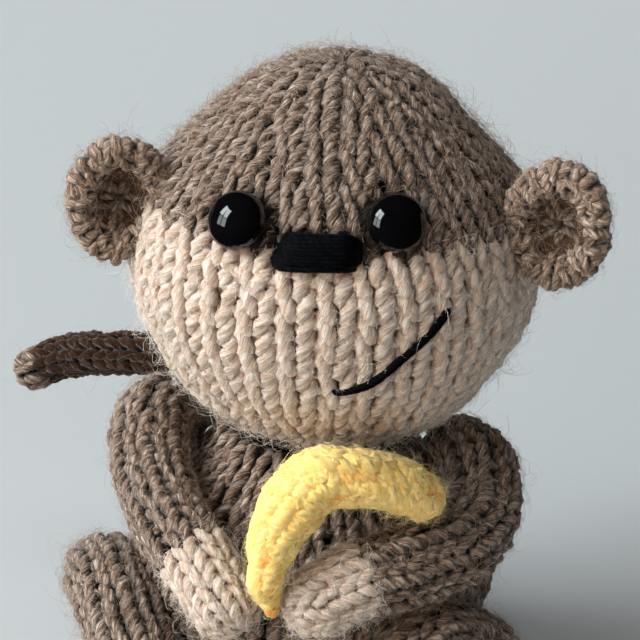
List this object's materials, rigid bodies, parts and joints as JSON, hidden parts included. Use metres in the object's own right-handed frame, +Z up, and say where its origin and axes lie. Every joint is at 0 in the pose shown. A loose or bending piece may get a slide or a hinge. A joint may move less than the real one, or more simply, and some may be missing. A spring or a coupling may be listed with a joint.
{
  "type": "plush monkey",
  "caption": "Hand-knitted stuffed monkey that sits and hugs a knitted banana, with a round head, cupped ears, glossy bead eyes, limbs that open and a curled tail.",
  "frame": {"origin": "middle of the flat seat under the body, on the ground", "axes": "+Z up, -Y to where the body faces, -X to the toy's own right"},
  "size_m": [0.08, 0.0671, 0.0808],
  "materials": {
    "brown_yarn": "heathered brown yarn, knitted in stockinette",
    "cream_yarn": "heathered cream yarn, knitted in stockinette",
    "yellow_yarn": "pale yellow yarn, knitted",
    "black_thread": "black embroidery yarn",
    "eye_plastic": "polished black",
    "washer_plastic": "moulded, matt",
    "fibre_fill": "loose polyester fibre"
  },
  "bodies": {
    "body": {"body_cover": "brown_yarn", "body_stuffing": "fibre_fill"},
    "neck": {"neck_gather": "brown_yarn"},
    "head": {"head_crown": "brown_yarn", "head_face": "cream_yarn", "head_stuffing": "fibre_fill", "ear_right": "brown_yarn", "ear_left": "brown_yarn", "eye_right": "eye_plastic", "eye_left": "eye_plastic", "eye_washer_right": "washer_plastic", "eye_washer_left": "washer_plastic", "nose_stitches": "black_thread", "mouth_thread": "black_thread"},
    "arm_right": {"arm_right": "brown_yarn", "hand_right": "cream_yarn", "arm_stuffing_right": "fibre_fill"},
    "arm_left": {"arm_left": "brown_yarn", "hand_left": "cream_yarn", "arm_stuffing_left": "fibre_fill"},
    "leg_right": {"leg_right": "brown_yarn", "foot_right": "cream_yarn", "leg_stuffing_right": "fibre_fill"},
    "leg_left": {"leg_left": "brown_yarn", "foot_left": "cream_yarn", "leg_stuffing_left": "fibre_fill"},
    "tail": {"tail": "brown_yarn"},
    "banana": {"banana": "yellow_yarn"}
  },
  "joints": [
    {"name": "neck_turn", "type": "hinge", "parent": "body", "child": "neck", "pos_m": [0.0011, 0, 0.05807], "axis": [0, 0, 1], "range_deg": [-34, 22], "stiffness_Nm_per_rad": 0.02},
    {"name": "neck_nod", "type": "hinge", "parent": "neck", "child": "head", "pos_m": [0.0011, 0, 0.05807], "axis": [0.9945, 0.1045, 0], "range_deg": [-12, 10], "stiffness_Nm_per_rad": 0.02},
    {"name": "shoulder_right", "type": "hinge", "parent": "body", "child": "arm_right", "pos_m": [-0.01697, 0.00148, 0.03377], "axis": [0, 0, -1], "range_deg": [0, 60]},
    {"name": "shoulder_left", "type": "hinge", "parent": "body", "child": "arm_left", "pos_m": [0.01697, 0.00148, 0.03377], "axis": [0, 0, 1], "range_deg": [0, 60]},
    {"name": "hip_right", "type": "hinge", "parent": "body", "child": "leg_right", "pos_m": [-0.02482, -0.00438, 0.01345], "axis": [0, 0, -1], "range_deg": [0, 50]},
    {"name": "hip_left", "type": "hinge", "parent": "body", "child": "leg_left", "pos_m": [0.02302, -0.01025, 0.01345], "axis": [0, 0, 1], "range_deg": [0, 50]},
    {"name": "tail_swing", "type": "hinge", "parent": "body", "child": "tail", "pos_m": [-0.0012, 0.02283, 0.01169], "axis": [0, 0, 1], "range_deg": [-70, 5]},
    {"name": "banana_pull", "type": "slide", "parent": "arm_left", "child": "banana", "axis": [0, -0.866, 0.5], "range_m": [0, 0.02]}
  ]
}
